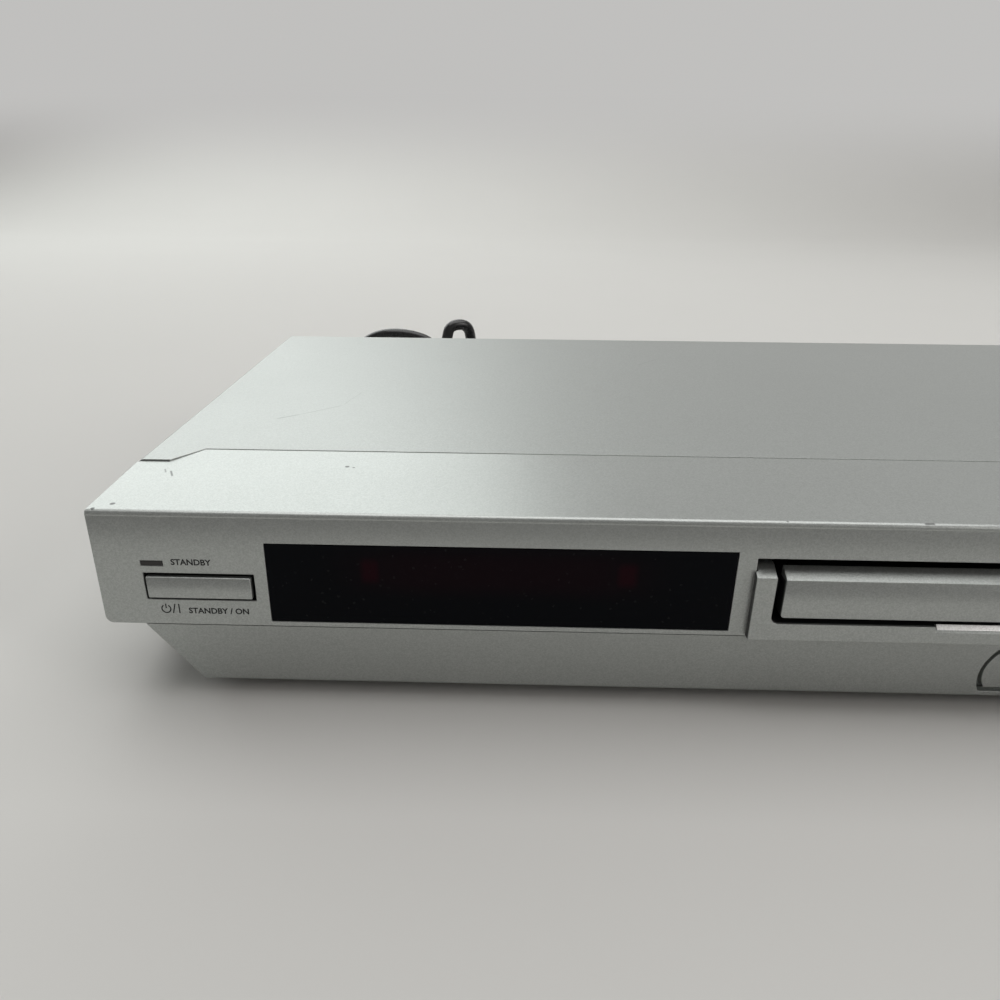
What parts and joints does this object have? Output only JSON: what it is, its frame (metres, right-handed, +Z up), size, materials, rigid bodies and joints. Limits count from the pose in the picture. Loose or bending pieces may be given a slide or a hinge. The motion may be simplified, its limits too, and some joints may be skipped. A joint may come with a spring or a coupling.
{
  "type": "disc player",
  "caption": "Slim silver disc player: front-loading motor tray, black display window, stepped fascia over a slanted chin, folded metal cover, rear sockets and mains lead.",
  "frame": {"origin": "on the plane that the feet stand on, under the middle of the player", "axes": "+X along the width to the viewer's right, +Y from the front to the back, +Z up"},
  "size_m": [0.438, 0.2798, 0.0605],
  "materials": {
    "cover_metal": "silver paint over sheet steel, satin",
    "fascia_silver": "metallic silver paint on moulded plastic, satin",
    "window_black": "dark smoked acrylic, polished",
    "lens_clear": "clear light pipe",
    "zinc_sheet": "zinc-plated sheet",
    "tray_plastic": "moulded black plastic",
    "loader_plastic": "moulded black plastic",
    "gear_plastic": "natural white acetal",
    "rubber_black": "matt black rubber",
    "foot_plastic": "moulded black plastic",
    "steel_bright": "bright steel",
    "jack_metal": "plated metal barrel",
    "socket_black": "moulded black plastic",
    "board_green": "green lacquered glass laminate",
    "part_black": "black moulded component",
    "can_sleeve": "dark shrink sleeve with bare top",
    "heatsink_metal": "plain aluminium",
    "glass_dark": "dark display glass",
    "lens_glass": "coated lens",
    "ribbon_white": "flat white cable",
    "cord_black": "black flexible sheath, slight sheen",
    "pin_metal": "nickel-plated pins in a black moulded plug"
  },
  "bodies": {
    "housing": {"top_cover": "cover_metal", "cover_screws": "steel_bright", "front_panel": "fascia_silver", "tray_surround": "fascia_silver", "chin_trim": "fascia_silver", "display_window": "window_black", "standby_lens": "lens_clear", "chassis_pan": "zinc_sheet", "rear_panel": "zinc_sheet", "rca_jacks": "jack_metal", "jack_housing": "socket_black", "side_sockets": "socket_black", "feet": "foot_plastic", "foot_pads": "rubber_black", "loader_frame": "loader_plastic", "standoffs": "steel_bright", "inner_screws": "steel_bright", "loading_motor": "steel_bright", "drive_belt": "rubber_black", "clamper_bridge": "zinc_sheet", "power_board": "board_green", "main_board": "board_green", "mains_transformer": "part_black", "capacitors": "can_sleeve", "mains_filter": "part_black", "heatsinks": "heatsink_metal", "display_tube": "glass_dark", "front_boards": "board_green", "tact_switches": "part_black", "ribbon_cables": "ribbon_white", "cord_gland": "rubber_black", "cord_lead": "cord_black", "cord_hank": "cord_black", "cord_tail": "cord_black", "cord_tie": "cord_black", "mains_plug": "cord_black"},
    "tray_unit": {"tray": "tray_plastic", "tray_door": "fascia_silver"},
    "drive_gear": {"drive_gear": "gear_plastic"},
    "pulley_gear": {"pulley_gear": "gear_plastic"},
    "motor_pulley": {"motor_pulley": "gear_plastic"},
    "cam_slider": {"cam_slider": "gear_plastic"},
    "traverse": {"traverse_frame": "loader_plastic", "guide_rods": "steel_bright", "spindle_motor": "steel_bright", "feed_motor": "steel_bright"},
    "turntable": {"turntable": "loader_plastic"},
    "pickup_unit": {"pickup": "part_black", "objective_lens": "lens_glass"},
    "feed_gear": {"feed_gear": "gear_plastic"},
    "feed_pinion": {"feed_pinion": "gear_plastic"},
    "clamper": {"clamper": "gear_plastic"},
    "standby_key": {"standby_key": "fascia_silver"},
    "stop_key": {"stop_key": "fascia_silver"},
    "pause_key": {"pause_key": "fascia_silver"},
    "play_key": {"play_key": "fascia_silver"},
    "skip_back_key": {"skip_back_key": "fascia_silver"},
    "skip_forward_key": {"skip_forward_key": "fascia_silver"},
    "open_key": {"open_key": "fascia_silver"}
  },
  "joints": [
    {"name": "tray_slide", "type": "slide", "parent": "housing", "child": "tray_unit", "axis": [0, -1, 0], "range_m": [0, 0.138]},
    {"name": "drive_gear_spin", "type": "hinge", "parent": "housing", "child": "drive_gear", "pos_m": [0.06298, -0.08155, 0.028], "axis": [0, 0, 1], "range_deg": [-662, 2]},
    {"name": "pulley_gear_spin", "type": "hinge", "parent": "housing", "child": "pulley_gear", "pos_m": [0.03686, -0.08155, 0.025], "axis": [0, 0, 1], "range_deg": [-4, 2200]},
    {"name": "motor_pulley_spin", "type": "hinge", "parent": "housing", "child": "motor_pulley", "pos_m": [-0.0029, -0.08155, 0.024], "axis": [0, 0, 1], "range_deg": [-10, 6810]},
    {"name": "cam_slide", "type": "slide", "parent": "housing", "child": "cam_slider", "axis": [1, 0, 0], "range_m": [0, 0.016]},
    {"name": "traverse_tilt", "type": "hinge", "parent": "housing", "child": "traverse", "pos_m": [0.0271, 0.05845, 0.023], "axis": [1, 0, 0], "range_deg": [0, 3.34]},
    {"name": "turntable_spin", "type": "hinge", "parent": "traverse", "child": "turntable", "pos_m": [0.0271, -0.02755, 0.03], "axis": [0, 0, 1], "continuous": true},
    {"name": "pickup_slide", "type": "slide", "parent": "traverse", "child": "pickup_unit", "axis": [0, 1, 0], "range_m": [0, 0.034]},
    {"name": "feed_gear_spin", "type": "hinge", "parent": "traverse", "child": "feed_gear", "pos_m": [-0.01012, 0.00845, 0.028], "axis": [0, 0, 1], "range_deg": [-2, 216]},
    {"name": "feed_pinion_spin", "type": "hinge", "parent": "traverse", "child": "feed_pinion", "pos_m": [-0.01012, -0.00497, 0.028], "axis": [0, 0, 1], "range_deg": [-466, 2]},
    {"name": "clamper_spin", "type": "hinge", "parent": "housing", "child": "clamper", "pos_m": [0.0271, -0.02755, 0.044], "axis": [0, 0, 1], "continuous": true},
    {"name": "standby_press", "type": "slide", "parent": "housing", "child": "standby_key", "axis": [0, 1, 0], "range_m": [0, 0.0008], "stiffness_N_per_m": 1200},
    {"name": "stop_press", "type": "slide", "parent": "housing", "child": "stop_key", "axis": [0, 1, 0], "range_m": [0, 0.0008], "stiffness_N_per_m": 1200},
    {"name": "pause_press", "type": "slide", "parent": "housing", "child": "pause_key", "axis": [0, 1, 0], "range_m": [0, 0.0008], "stiffness_N_per_m": 1200},
    {"name": "play_press", "type": "slide", "parent": "housing", "child": "play_key", "axis": [0, 1, 0], "range_m": [0, 0.0008], "stiffness_N_per_m": 1200},
    {"name": "skip_back_press", "type": "slide", "parent": "housing", "child": "skip_back_key", "axis": [0, 1, 0], "range_m": [0, 0.0008], "stiffness_N_per_m": 1200},
    {"name": "skip_forward_press", "type": "slide", "parent": "housing", "child": "skip_forward_key", "axis": [0, 1, 0], "range_m": [0, 0.0008], "stiffness_N_per_m": 1200},
    {"name": "open_press", "type": "slide", "parent": "housing", "child": "open_key", "axis": [0, 1, 0], "range_m": [0, 0.0008], "stiffness_N_per_m": 1200}
  ],
  "couplings": [
    {"joint": "drive_gear_spin", "follows": "tray_slide", "rad_per_m": -83.333},
    {"joint": "pulley_gear_spin", "follows": "tray_slide", "rad_per_m": 277.78},
    {"joint": "motor_pulley_spin", "follows": "tray_slide", "rad_per_m": 859.17},
    {"joint": "traverse_tilt", "follows": "cam_slide", "rad_per_m": 3.6297},
    {"joint": "feed_gear_spin", "follows": "pickup_slide", "rad_per_m": 109.89},
    {"joint": "feed_pinion_spin", "follows": "pickup_slide", "rad_per_m": -238.1}
  ]
}
